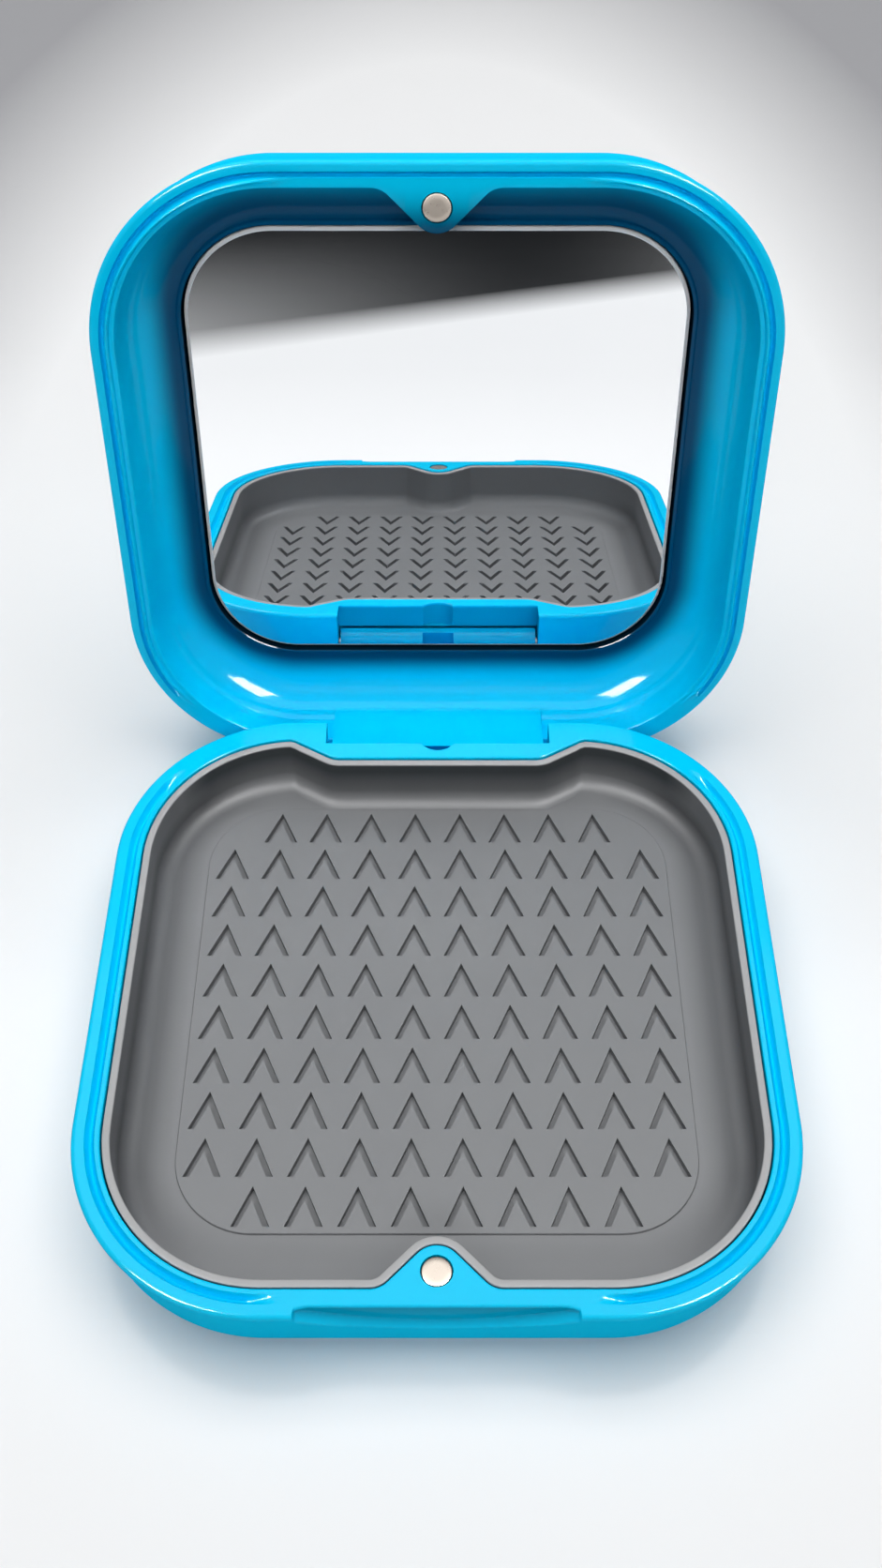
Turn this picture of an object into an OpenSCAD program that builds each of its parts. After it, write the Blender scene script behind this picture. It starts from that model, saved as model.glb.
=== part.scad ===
// Orthodontic retainer case: a square clamshell with large rounded corners, standing open.
// The base holds a lift-out liner with chevron grooves, the lid carries a mirror,
// and two small magnets hold the lid shut. Sizes are millimetres.
// The origin is on the table under the middle of the base. +Z is up, +Y points to the hinge,
// -Y to the thumb notch. Each lid piece is drawn closed and then swung open about the hinge.

/* [Case] */
// Outside width across the rim
case_w = 86; // [76:1:100]
// Outside depth from thumb notch to hinge
case_d = 86.5; // [76:1:100]
// Plan radius of the four corners
corner_r = 23.5; // [20:0.5:27]
// Lid angle, 0 is shut
lid_open = 101.5; // [0:0.5:101.5]
// Gap between the two rims when shut
rim_gap = 0.3; // [0.2:0.05:0.6]

/* [Base] */
// Height of the base from table to rim
base_h = 13; // [12:0.5:18]
// Thickness of the floor
base_floor = 2.4; // [1.6:0.1:3]
// Thickness of the wall at the rim
rim_w = 3.4; // [3.2:0.1:4]
// Radius of the bottom edge
base_edge_r = 4.5; // [2:0.5:5]
// How far the wall leans in from rim to table
base_lean = 1.3; // [0.2:0.1:1.5]
// Rounding on the outer edge of both rims
rim_round = 0.6; // [0.3:0.1:0.9]

/* [Rim seal] */
// Flat land outside the groove in the base rim
groove_in = 1.6; // [1.4:0.1:1.8]
// Width of the groove in the base rim
groove_w = 1.2; // [1.1:0.05:1.4]
// Depth of the groove in the base rim
groove_h = 0.9; // [0.8:0.1:1.5]
// Height of the lid ridge that enters the groove
ridge_h = 0.7; // [0.4:0.05:0.8]
// Side clearance between ridge and groove
ridge_gap = 0.3; // [0.25:0.05:0.4]
// Width of the relief groove outside the lid ridge
relief_w = 0.7; // [0.4:0.1:0.8]
// Depth of the relief groove
relief_h = 0.9; // [0.5:0.1:1.5]
// Distance from the back face at which groove and ridge end
seal_stop = 9.5; // [9:0.5:14]
// How much sooner the ridge ends than the groove
ridge_trim = 0.8; // [0.6:0.1:1.5]

/* [Lid] */
// Height of the lid from rim to top
lid_h = 14; // [13:0.5:18]
// Thickness of the lid wall at the rim
lid_wall = 3.1; // [2.8:0.1:3.6]
// Radius of the top edge
lid_edge_r = 8.5; // [5:0.5:9]
// How far the lid wall leans in before the top edge
lid_lean = 1.2; // [0.2:0.1:1.4]
// Radius of the cove between the lid wall and the mirror deck
lid_cove = 6.5; // [4:0.5:7]

/* [Mirror] */
// Width of the mirror
mirror_w = 65; // [56:0.5:66]
// Depth of the mirror, front to hinge side
mirror_d = 62.5; // [56:0.5:64]
// Corner radius of the mirror
mirror_r = 12; // [6:0.5:14]
// Mirror centre towards the front from the case centre
mirror_y = 1.1; // [0:0.1:2]
// Thickness of the mirror
mirror_t = 1.8; // [1.2:0.1:2.2]
// Thickness of the adhesive pad behind it
tape_t = 0.4; // [0.3:0.1:0.8]
// Distance from the mirror edge to the edge of the pad
tape_in = 4; // [2:0.5:10]
// Depth of the mirror face behind the lid rim
mirror_depth = 9.5; // [8:0.1:10]
// Bevel on the front edge of the mirror
mirror_bevel = 0.5; // [0.2:0.1:0.8]
// Gap all round the mirror
mirror_gap = 0.3; // [0.2:0.05:0.5]
// Width of the raised lip round the mirror
lip_w = 0.6; // [0.4:0.1:1]
// Height of the raised lip
lip_h = 0.5; // [0.3:0.1:0.8]

/* [Liner] */
// Wall of the liner
liner_wall = 1; // [0.8:0.1:1.4]
// Floor of the liner
liner_floor = 2.6; // [2:0.1:3.5]
// Gap between liner and base wall
liner_gap = 0.1; // [0.05:0.05:0.3]
// Drop of the liner edge below the rim
liner_drop = 0.2; // [0.1:0.1:0.8]
// Radius between liner wall and floor
liner_fillet = 2.2; // [1:0.2:3]
// Width of the raised floor panel
panel_w = 63.5; // [58:0.5:65]
// Corner radius of the raised floor panel
panel_r = 10; // [6:0.5:12]
// Height of the raised floor panel
panel_h = 0.3; // [0.2:0.1:0.5]
// Panel centre towards the hinge from the case centre
panel_y = 1.5; // [0:0.1:2]

/* [Chevron grooves] */
// Rows and columns of grooves
chev_n = 10; // [4:1:10]
// Distance from one groove to the next
chev_pitch = 6.3; // [5.6:0.1:6.4]
// Width across one chevron
chev_w = 4.6; // [3:0.05:5]
// Height of one chevron, point to tips
chev_h = 5.1; // [3:0.1:5.2]
// Width of a chevron leg
chev_leg = 0.8; // [0.5:0.05:1]
// Depth of the grooves
chev_deep = 1; // [0.5:0.1:1.5]

/* [Hinge] */
// Hinge axis in from the back face
hinge_in = 3.2; // [3.1:0.1:3.4]
// Hinge axis below the base rim
hinge_drop = 6; // [5.6:0.1:6.4]
// Radius of the lid barrel
barrel_r = 2.3; // [2:0.1:2.4]
// Clearance round the barrel
barrel_gap = 0.35; // [0.3:0.05:0.4]
// Width of the lid tongue
tongue_w = 31; // [26:0.5:32]
// Clearance at each end of the tongue
tongue_gap = 0.35; // [0.3:0.05:0.5]
// Tongue thickness in front of the axis
tongue_front = 0.6; // [0.4:0.1:0.8]
// Tongue thickness behind the axis
tongue_back = 2.9; // [2.6:0.1:3]
// Height of the tongue above the lid rim
tongue_up = 6.2; // [5:0.1:7]
// Clearance between tongue and base strip when shut
strip_gap = 0.3; // [0.25:0.05:0.4]
// Wall of the hinge housing in front of the barrel
housing_wall = 1.05; // [0.9:0.05:1.2]
// Half width of the housing front
housing_half = 14.6; // [14:0.1:16]
// Slope of the housing flanks, degrees
housing_slope = 30; // [26:1:36]
// Radius of the front corners of the housing
housing_r = 3; // [1.5:0.1:4]
// Height of the sill under the tongue
sill_h = 3; // [2.6:0.1:3.1]
// Width of the half-round notch in the base strip
scallop_w = 4.6; // [3:0.2:6]
// Depth of the half-round notch
scallop_d = 1.3; // [0.8:0.1:1.6]
// Clearance between the lid rim and the rounded back edge of the base
heel_gap = 0.27; // [0.25:0.01:0.29]
// Diameter of the two hinge pins
pin_d = 1.6; // [1.2:0.1:1.8]
// Depth of each pin in the lid barrel
pin_run = 2.1; // [1.5:0.1:3]
// Depth of each pin in the base
pin_seat = 2.6; // [2:0.1:2.8]
// Radial clearance of the pin in the barrel
pin_run_gap = 0.06; // [0.03:0.01:0.1]
// Radial clearance of the pin in the base
pin_seat_gap = 0.01; // [0.01:0.01:0.03]

/* [Magnets] */
// Diameter of each magnet
magnet_d = 3.5; // [3:0.1:4]
// Thickness of each magnet
magnet_t = 2; // [1:0.1:3]
// Magnet centre in from the front face
magnet_in = 5.4; // [5.2:0.1:6]
// Depth of the magnet face below its boss
magnet_sink = 0.1; // [0.05:0.05:0.3]
// Bevel on the face of a magnet
magnet_edge = 0.2; // [0.1:0.05:0.4]
// Radial gap round a magnet
magnet_gap = 0.05; // [0.02:0.01:0.1]
// Radius of the boss nose round a magnet
boss_r = 3; // [2.6:0.1:3.4]
// Slope of the boss flanks, degrees
boss_slope = 45; // [35:1:55]
// Radius at the foot of bosses and housing
foot_r = 3; // [2:0.1:4]
// How far bosses and housing root into the base wall
root = 0.5; // [0.3:0.1:0.8]

/* [Thumb notch] */
// Width of the scoop in the front wall
thumb_w = 31.5; // [24:0.5:36]
// Depth of the scoop at its back
thumb_d = 1.4; // [0.8:0.1:1.4]
// Drop of the scoop below the rim in the middle
thumb_h = 3.7; // [3:0.1:6]
// Rise of the scoop floor from the middle to each end
thumb_rise = 3.2; // [2:0.1:3.4]
// Slope of the scoop floor, degrees
thumb_slope = 42; // [30:1:70]

/* [Hidden] */
$fa = 6;
$fs = 0.4;
eps = 0.05;
front_y = -case_d / 2;
back_y = case_d / 2;
hinge_y = back_y - hinge_in;
hinge_z = base_h - hinge_drop;
lid_z = base_h + rim_gap;
ridge_in = groove_in + ridge_gap;
ridge_w = groove_w - 2 * ridge_gap;
relief_in = ridge_in - relief_w;
magnet_y = front_y + magnet_in;
strip_y = hinge_y - tongue_front - strip_gap;
housing_y = hinge_y - barrel_r - barrel_gap - housing_wall;
notch_w = tongue_w + 2 * tongue_gap;
liner_in = rim_w + liner_gap;
liner_top = base_h - liner_drop;
floor_z = base_floor + liner_floor;
pocket_h = mirror_t + tape_t;
deck_in_x = case_w / 2 - mirror_w / 2 - mirror_gap - lip_w;
deck_in_y = case_d / 2 - mirror_d / 2 - mirror_y - mirror_gap - lip_w;
deck_in = min(deck_in_x, deck_in_y);
cove_r = min(lid_cove, deck_in - lid_wall);
boss_n = [sin(boss_slope), cos(boss_slope)];
housing_n = [sin(housing_slope), -cos(housing_slope)];
scallop_r = (scallop_w * scallop_w / 4 + scallop_d * scallop_d) / (2 * scallop_d);

base_color = [0.04, 0.66, 0.93];
liner_color = [0.42, 0.43, 0.45];
steel_color = [0.72, 0.71, 0.69];
mirror_color = [0.82, 0.84, 0.86];
tape_color = [0.12, 0.12, 0.13];

// Quarter disc that rounds a profile corner; sx and sy say which way it points
module corner(c, r, sx, sy) {
    translate(c)
        intersection() {
            circle(r);
            translate([sx > 0 ? 0 : -r, sy > 0 ? 0 : -r])
                square(r);
        }
}

// Slot profile with a round end; z0 is the open end and z1 the round one
module round_slot(x0, w, z0, z1) {
    s = z1 > z0 ? 1 : -1;
    translate([x0 + w / 2, z1 - s * w / 2])
        circle(d = w);
    translate([x0, min(z0, z1 - s * w / 2)])
        square([w, abs(z1 - s * w / 2 - z0)]);
}

// Sweeps a profile round a rounded rectangle. Profile x is 0 on the outline and negative inside.
module around(w, d, r) {
    for (k = [0 : 3]) {
        out = k % 2 == 0 ? w / 2 : d / 2;
        run = k % 2 == 0 ? d - 2 * r : w - 2 * r;
        rotate(90 * k) {
            translate([out, 0, 0])
                rotate([90, 0, 0])
                    linear_extrude(run, center = true)
                        children();
            translate([out - r, run / 2, 0])
                rotate_extrude(angle = 90)
                    translate([r, 0])
                        children();
        }
    }
}

// A solid with the same edge profile all round; the profile reaches in to the corner centres
module solid_around(w, d, r, z0, z1) {
    around(w, d, r) children();
    translate([-w / 2 + r, -d / 2 + r, z0])
        cube([w - 2 * r, d - 2 * r, z1 - z0]);
}

// An upright rounded-rectangle prism
module prism(w, d, r, z0, z1) {
    solid_around(w, d, r, z0, z1)
        translate([-r, z0])
            square([r, z1 - z0]);
}

// The case outline set in by a given amount, as a prism
module inner_prism(inset, z0, z1) {
    prism(case_w - 2 * inset, case_d - 2 * inset, corner_r - inset, z0, z1);
}

// Plan of the triangular magnet boss on a wall of given thickness, grown by e.
// The straight flanks cross the arcs at both ends by eps, so that none of them merely touch.
module boss_plan(e, wall) {
    reach = magnet_in - wall + root;
    nose = boss_r + e;
    foot_y = wall + foot_r - magnet_in - eps;
    foot_x = (boss_r + foot_r - foot_y * boss_n.y) / boss_n.x;
    tip = [foot_x, foot_y] - (foot_r - e - eps) * boss_n;
    side = (nose - eps) * boss_n;
    translate([0, magnet_y]) {
        circle(nose);
        difference() {
            for (m = [0, 1])
                mirror([m, 0])
                    polygon([[0, -reach], [foot_x, -reach], [foot_x, foot_y], tip, side, [0, side.y]]);
            for (m = [-1, 1])
                translate([m * foot_x, foot_y])
                    circle(foot_r - e);
        }
    }
}

// Plan of the hinge housing that stands into the base, grown by e
module housing_plan(e) {
    turn = [housing_half - housing_r * tan(housing_slope / 2), housing_y + housing_r];
    foot_y = back_y - rim_w - foot_r + eps;
    foot_x = turn.x + (housing_r + foot_r - (foot_y - turn.y) * housing_n.y) / housing_n.x;
    tip = [foot_x, foot_y] - (foot_r - e - eps) * housing_n;
    side = turn + (housing_r + e - eps) * housing_n;
    y1 = back_y - rim_w + root;
    difference() {
        for (m = [0, 1])
            mirror([m, 0])
                polygon([[0, y1], [foot_x, y1], [foot_x, foot_y], tip, side,
                    [turn.x, housing_y - e], [0, housing_y - e]]);
        for (m = [-1, 1])
            translate([m * foot_x, foot_y])
                circle(foot_r - e);
    }
    for (m = [0, 1])
        mirror([m, 0])
            corner(turn, housing_r + e, 1, -1);
}

// Boss and housing together, from z0 to z1
module bosses(e, z0, z1) {
    translate([0, 0, z0])
        linear_extrude(z1 - z0) {
            boss_plan(e, rim_w);
            housing_plan(e);
        }
}

// The seal stops short of the hinge, and where front is set also at the thumb notch
module seal_only(trim, z0, z1, front) {
    half = thumb_w / 2 + groove_w + trim;
    difference() {
        children();
        translate([-case_w, back_y - seal_stop - trim, z0])
            cube([2 * case_w, case_d, z1 - z0]);
        if (front)
            translate([-half, front_y - 1, z0])
                cube([2 * half, rim_w + 2, z1 - z0]);
    }
}

// Swings a piece drawn shut to the angle at which the lid stands
module swing() {
    translate([0, hinge_y, hinge_z])
        rotate([-lid_open, 0, 0])
            translate([0, -hinge_y, lid_z - hinge_z])
                children();
}

// Blue base tub: floor, wall, grooved rim, magnet boss and the hinge housing with its notch
module base_shell() {
    color(base_color)
        difference() {
            union() {
                difference() {
                    solid_around(case_w, case_d, corner_r, 0, base_h)
                        base_profile();
                    inner_prism(rim_w, base_floor, base_h + 1);
                }
                bosses(0, base_floor - eps, base_h);
            }
            seal_only(0, 0, base_h + 2, true)
                around(case_w, case_d, corner_r)
                    round_slot(-groove_in - groove_w, groove_w, base_h + 1, base_h - groove_h);
            hinge_notch();
            heel_cut();
            thumb_notch();
            translate([0, magnet_y, base_h - magnet_sink - magnet_t])
                cylinder(d = magnet_d + 2 * magnet_gap, h = magnet_t + 1);
            pin_holes(notch_w / 2 - eps, notch_w / 2 + pin_seat, pin_seat_gap);
        }
}

// Section of the base outside: flat bottom, round edge, leaning wall, round rim
module base_profile() {
    edge = [-base_lean - base_edge_r, base_edge_r];
    rim = [-rim_round, base_h - rim_round];
    polygon([[-corner_r, 0], [edge.x, 0], [-base_lean, edge.y],
        [0, rim.y], [rim.x, base_h], [-corner_r, base_h]]);
    corner(edge, base_edge_r, 1, -1);
    corner(rim, rim_round, 1, 1);
}

// Room for the tongue and its barrel in the back wall of the base
module hinge_notch() {
    translate([-notch_w / 2, strip_y, sill_h])
        cube([notch_w, case_d, base_h]);
    translate([-notch_w / 2, hinge_y, hinge_z])
        rotate([0, 90, 0])
            cylinder(r = barrel_r + barrel_gap, h = notch_w);
    translate([0, strip_y - scallop_d + scallop_r, hinge_z])
        cylinder(r = scallop_r, h = base_h);
}

// Rounds the back edge of the base about the hinge so that the lid rim swings past it
module heel_cut() {
    difference() {
        translate([-case_w, hinge_y, hinge_z])
            cube([2 * case_w, case_d, base_h]);
        translate([-2 * case_w, hinge_y, hinge_z])
            rotate([0, 90, 0])
                cylinder(r = hinge_drop + rim_gap - heel_gap, h = 4 * case_w);
    }
}

// Finger scoop in the front wall: a sloping round cut, stopped by a flat back
module thumb_notch() {
    lift = thumb_rise * cos(thumb_slope);
    r = (thumb_w * thumb_w / 4 + lift * lift) / (2 * lift);
    intersection() {
        translate([-thumb_w / 2, front_y - 1, 0])
            cube([thumb_w, thumb_d + 1, base_h + 1]);
        translate([0, front_y + thumb_d, base_h - thumb_h])
            rotate([thumb_slope - 90, 0, 0])
                translate([0, -r, -case_d / 2])
                    cylinder(r = r, h = case_d);
    }
}

// Bores for both pins, between two distances from the middle of the hinge
module pin_holes(x0, x1, gap) {
    for (s = [-1, 1])
        translate([s > 0 ? x0 : -x1, hinge_y, hinge_z])
            rotate([0, 90, 0])
                cylinder(d = pin_d + 2 * gap, h = x1 - x0);
}

// Grey lift-out liner with a raised, grooved floor panel
module liner_tray() {
    inset = liner_in + liner_wall;
    color(liner_color)
        difference() {
            union() {
                difference() {
                    inner_prism(liner_in, base_floor, liner_top);
                    difference() {
                        inner_prism(inset, floor_z, base_h + 1);
                        bosses(liner_gap + liner_wall, base_floor, base_h + 2);
                    }
                }
                around(case_w - 2 * inset, case_d - 2 * inset, corner_r - inset)
                    translate([0, floor_z])
                        difference() {
                            translate([-liner_fillet, -eps])
                                square([liner_fillet + eps, liner_fillet + eps]);
                            translate([-liner_fillet, liner_fillet])
                                circle(liner_fillet);
                        }
                translate([0, panel_y, 0])
                    prism(panel_w, panel_w, panel_r, floor_z - eps, floor_z + panel_h);
            }
            bosses(liner_gap, base_floor - 1, base_h + 2);
            chevrons();
        }
}

// Grid of blind chevron grooves; the four corner ones are left out
module chevrons() {
    mid = (chev_n - 1) / 2;
    for (i = [0 : chev_n - 1], j = [0 : chev_n - 1])
        if (abs(i - mid) + abs(j - mid) < 2 * mid)
            translate([(i - mid) * chev_pitch, panel_y + (j - mid) * chev_pitch, 0])
                translate([0, 0, floor_z + panel_h - chev_deep])
                    linear_extrude(chev_deep + 1)
                        chevron_plan();
}

// One chevron, point towards the hinge
module chevron_plan() {
    w = chev_w / 2;
    h = chev_h / 2;
    rise = chev_leg * chev_h / w;
    polygon([[-w, -h], [-w + chev_leg, -h], [0, h - rise], [w - chev_leg, -h], [w, -h], [0, h]]);
}

// Magnet disc with a bevelled face towards +Z
module magnet_disc() {
    cylinder(d = magnet_d, h = magnet_t - magnet_edge);
    translate([0, 0, magnet_t - magnet_edge])
        cylinder(d1 = magnet_d, d2 = magnet_d - 2 * magnet_edge, h = magnet_edge);
}

// Nickel-plated magnet disc in the base boss
module base_magnet() {
    color(steel_color)
        translate([0, magnet_y, base_h - magnet_sink - magnet_t])
            magnet_disc();
}

// Steel hinge pin at one end of the tongue
module hinge_pin(s) {
    x0 = tongue_w / 2 - pin_run + eps;
    color(steel_color)
        translate([s > 0 ? x0 : -notch_w / 2 - pin_seat + eps, hinge_y, hinge_z])
            rotate([0, 90, 0])
                cylinder(d = pin_d, h = notch_w / 2 + pin_seat - eps - x0);
}

module hinge_pin_left() {
    hinge_pin(-1);
}

module hinge_pin_right() {
    hinge_pin(1);
}

// Blue lid: curved shell, mirror recess, ridge, magnet boss and the hinge tongue
module lid_shell() {
    color(base_color)
        swing()
            difference() {
                union() {
                    difference() {
                        lid_body();
                        lid_hollow();
                    }
                    linear_extrude(mirror_depth + eps)
                        boss_plan(0, lid_wall);
                    mirror_lip();
                    seal_only(ridge_trim, -lid_h, lid_h, true)
                        around(case_w, case_d, corner_r)
                            round_slot(-ridge_in - ridge_w, ridge_w, eps, -ridge_h);
                    tongue();
                }
                seal_only(ridge_trim, -lid_h, lid_h, false)
                    around(case_w, case_d, corner_r)
                        round_slot(-relief_in - relief_w, relief_w, -1, relief_h);
                at_mirror()
                    prism(mirror_w + 2 * mirror_gap, mirror_d + 2 * mirror_gap, mirror_r + mirror_gap,
                        mirror_depth - 1, mirror_depth + pocket_h);
                translate([0, magnet_y, -1])
                    cylinder(d = magnet_d + 2 * magnet_gap, h = magnet_t + magnet_sink + 1);
                translate([0, 0, -lid_z])
                    pin_holes(tongue_w / 2 - pin_run, tongue_w / 2 + 1, pin_run_gap);
            }
}

// Outside form of the lid, rim at z = 0
module lid_body() {
    solid_around(case_w, case_d, corner_r, 0, lid_h)
        lid_profile();
}

// Section of the lid outside: round rim, leaning wall, large round edge, flat top
module lid_profile() {
    rim = [-rim_round, rim_round];
    edge = [-lid_lean - lid_edge_r, lid_h - lid_edge_r];
    polygon([[-corner_r, 0], [rim.x, 0], [0, rim.y],
        [-lid_lean, edge.y], [edge.x, lid_h], [-corner_r, lid_h]]);
    corner(rim, rim_round, 1, -1);
    corner(edge, lid_edge_r, 1, 1);
}

// Hollow of the lid
module lid_hollow() {
    solid_around(case_w, case_d, corner_r, -1, mirror_depth)
        hollow_profile();
}

// Section of the hollow: straight wall, then a cove in to the mirror deck
module hollow_profile() {
    cove = [-lid_wall - cove_r, mirror_depth - cove_r];
    polygon([[-corner_r, -1], [-lid_wall, -1], [-lid_wall, cove.y],
        [cove.x, mirror_depth], [-corner_r, mirror_depth]]);
    corner(cove, cove_r, 1, 1);
}

// Moves a piece drawn about the case centre to the middle of the mirror
module at_mirror() {
    translate([0, -mirror_y, 0])
        children();
}

// Thin raised lip that frames the mirror
module mirror_lip() {
    grow = 2 * (mirror_gap + lip_w);
    at_mirror()
        prism(mirror_w + grow, mirror_d + grow, mirror_r + grow / 2, mirror_depth - lip_h, mirror_depth + eps);
}

// Tongue that hangs from the lid into the base notch, with the hinge barrel at its end
module tongue() {
    drop = hinge_drop + rim_gap;
    translate([-tongue_w / 2, hinge_y - tongue_front, -drop])
        cube([tongue_w, tongue_front + tongue_back, drop + tongue_up]);
    translate([-tongue_w / 2, hinge_y, -drop])
        rotate([0, 90, 0])
            cylinder(r = barrel_r, h = tongue_w);
}

// Nickel-plated magnet disc in the lid boss
module lid_magnet() {
    color(steel_color)
        swing()
            translate([0, magnet_y, magnet_sink + magnet_t])
                rotate([180, 0, 0])
                    magnet_disc();
}

// Glass mirror set in the lid
module mirror_plate() {
    color(mirror_color)
        swing()
            at_mirror()
                solid_around(mirror_w, mirror_d, mirror_r, mirror_depth, mirror_depth + mirror_t)
                    translate([0, mirror_depth])
                        polygon([[-mirror_r, 0], [-mirror_bevel, 0], [0, mirror_bevel],
                            [0, mirror_t], [-mirror_r, mirror_t]]);
}

// Adhesive pad between mirror and lid
module mirror_tape() {
    color(tape_color)
        swing()
            at_mirror()
                prism(mirror_w - 2 * tape_in, mirror_d - 2 * tape_in, mirror_r - tape_in,
                    mirror_depth + mirror_t, mirror_depth + pocket_h);
}

base_shell();
liner_tray();
base_magnet();
hinge_pin_left();
hinge_pin_right();
lid_shell();
lid_magnet();
mirror_plate();
mirror_tape();
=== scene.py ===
import bmesh
import bpy
import numpy as np
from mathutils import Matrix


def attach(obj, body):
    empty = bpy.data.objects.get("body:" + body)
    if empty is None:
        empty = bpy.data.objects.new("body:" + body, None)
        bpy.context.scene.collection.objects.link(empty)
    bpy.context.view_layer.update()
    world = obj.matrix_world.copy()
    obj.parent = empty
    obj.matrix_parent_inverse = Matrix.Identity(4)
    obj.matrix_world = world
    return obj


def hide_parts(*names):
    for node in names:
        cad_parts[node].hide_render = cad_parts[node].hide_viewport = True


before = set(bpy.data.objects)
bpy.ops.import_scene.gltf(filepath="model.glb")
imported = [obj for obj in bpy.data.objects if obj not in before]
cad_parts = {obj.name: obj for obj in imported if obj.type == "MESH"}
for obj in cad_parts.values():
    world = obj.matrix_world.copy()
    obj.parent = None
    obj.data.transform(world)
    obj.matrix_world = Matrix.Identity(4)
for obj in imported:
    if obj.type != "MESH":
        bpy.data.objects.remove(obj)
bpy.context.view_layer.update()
scene = bpy.context.scene
scene.view_settings.view_transform = "Standard"

# The view of the open case from in front and above, as a level hand-held shot.
# The lens is worked out for a picture of 941 x 1672 pixels; there is no shift or blur.
view_pixels_high = 1672
view_focal_pixels = 1669.2
view_down = np.radians(50.741)
view_data = bpy.data.cameras.new("view")
view_data.sensor_fit = "VERTICAL"
view_data.sensor_height = 36.0
view_data.lens = view_data.sensor_height * view_focal_pixels / view_pixels_high
view_data.clip_start = 0.005
view_data.clip_end = 20.0
view = bpy.data.objects.new("view", view_data)
view.location = (0.000479, -0.105621, 0.180884)
view.rotation_euler = (np.pi / 2 - view_down, 0.0, 0.0)
scene.collection.objects.link(view)
scene.camera = view


# Base shell: one injection-moulded tub in glossy blue plastic, 86 mm across, with a leaning wall,
# a coved seal groove in its rim, a boss for the magnet in front, a thumb scoop below the rim, and a
# hinge housing behind whose notch takes the tongue of the lid.
case_w, case_d, corner_r = 86.0, 86.5, 23.5
base_h, base_floor, rim_w = 13.0, 2.4, 3.4
base_edge_r, base_lean, rim_round = 4.5, 1.3, 0.6
groove_in, groove_w, groove_h, seal_stop = 1.6, 1.2, 0.9, 9.5
magnet_in, boss_r, boss_slope, foot_r = 5.4, 3.0, np.radians(45), 3.0
hinge_in, housing_in, housing_half = 3.2, 6.9, 14.6
housing_r, housing_slope = 3.0, np.radians(30)
notch_half, tongue_half, strip_in, sill_h = 15.85, 15.5, 4.1, 3.0
barrel_room, hinge_drop = 2.65, 6.0
scallop_half, scallop_d = 2.3, 1.3
thumb_half, thumb_d, thumb_h, thumb_rise, thumb_slope = 15.75, 1.4, 3.7, 3.2, np.radians(42)


def rounded_outline(w, d, r, front_x, back_x, side_n, corner_n):
    """Stations round a rounded rectangle, anticlockwise from the front left: straight runs at the given
    x, quarter circles at the corners. Returns the points and the unit vectors that point inwards."""
    hx, hy = w / 2 - r, d / 2 - r
    turn = np.linspace(0, np.pi / 2, corner_n + 1)
    side_y = np.linspace(-hy, hy, side_n + 1)[1:-1]
    points, inward = [], []

    def run(x, y, nx, ny):
        points.append(np.column_stack([x, y]))
        inward.append(np.broadcast_to([nx, ny], (len(points[-1]), 2)))

    def bend(cx, cy, start):
        out = np.column_stack([np.cos(start + turn), np.sin(start + turn)])
        points.append(np.array([cx, cy]) + r * out)
        inward.append(-out)

    front = front_x[(front_x > -hx) & (front_x < hx)]
    back = back_x[(back_x > -hx) & (back_x < hx)][::-1]
    run(front, np.full(len(front), -d / 2), 0, 1)
    bend(hx, -hy, -np.pi / 2)
    run(np.full(len(side_y), w / 2), side_y, -1, 0)
    bend(hx, hy, 0)
    run(back, np.full(len(back), d / 2), 0, -1)
    bend(-hx, hy, np.pi / 2)
    run(np.full(len(side_y), -w / 2), side_y[::-1], 1, 0)
    bend(-hx, -hy, np.pi)
    return np.concatenate(points), np.concatenate(inward)


def mirrored(x):
    """The given distances from the middle on both sides of it, sorted, each once."""
    return np.unique(np.round(np.concatenate([-np.asarray(x), x]), 4))


front_x = mirrored(np.concatenate([np.linspace(0, 8, 54), np.linspace(8.4, 15.2, 20),
                                   thumb_half + np.array([-0.35, -0.2, -0.1, 0.0, 0.1, 0.2, 0.35]), [17.6, 18.6]]))
back_x = mirrored(np.concatenate([np.linspace(0, 2.5, 20), np.linspace(3.2, 14.6, 18),
                                  [15.2, tongue_half, notch_half, 16.2], np.linspace(16.7, 19.2, 6)]))
plan, plan_in = rounded_outline(case_w, case_d, corner_r, front_x, back_x, 36, 44)
plan_x, plan_y = plan[:, 0], plan[:, 1]
is_front, is_back = plan_y < -case_d / 4, plan_y > case_d / 4


def boss_inset(x, grow, wall):
    """Inset of the magnet boss's outline from the front face: a round nose about the magnet, straight
    flanks at the boss slope, and a concave quarter of radius foot_r that runs out into the wall."""
    x = np.abs(x)
    s, c = np.sin(boss_slope), np.cos(boss_slope)
    nose = boss_r + grow
    foot_y = wall + foot_r - magnet_in
    foot_x = (boss_r + foot_r - foot_y * c) / s
    tip_x = foot_x - (foot_r - grow) * s
    round_nose = magnet_in + np.sqrt(np.maximum(nose ** 2 - x ** 2, 0))
    flank = magnet_in + (nose - x * s) / c
    foot = wall + foot_r - np.sqrt(np.maximum((foot_r - grow) ** 2 - (foot_x - x) ** 2, 0))
    return np.select([x < nose * s, x < tip_x, x < foot_x], [round_nose, flank, foot], wall + grow)


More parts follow.
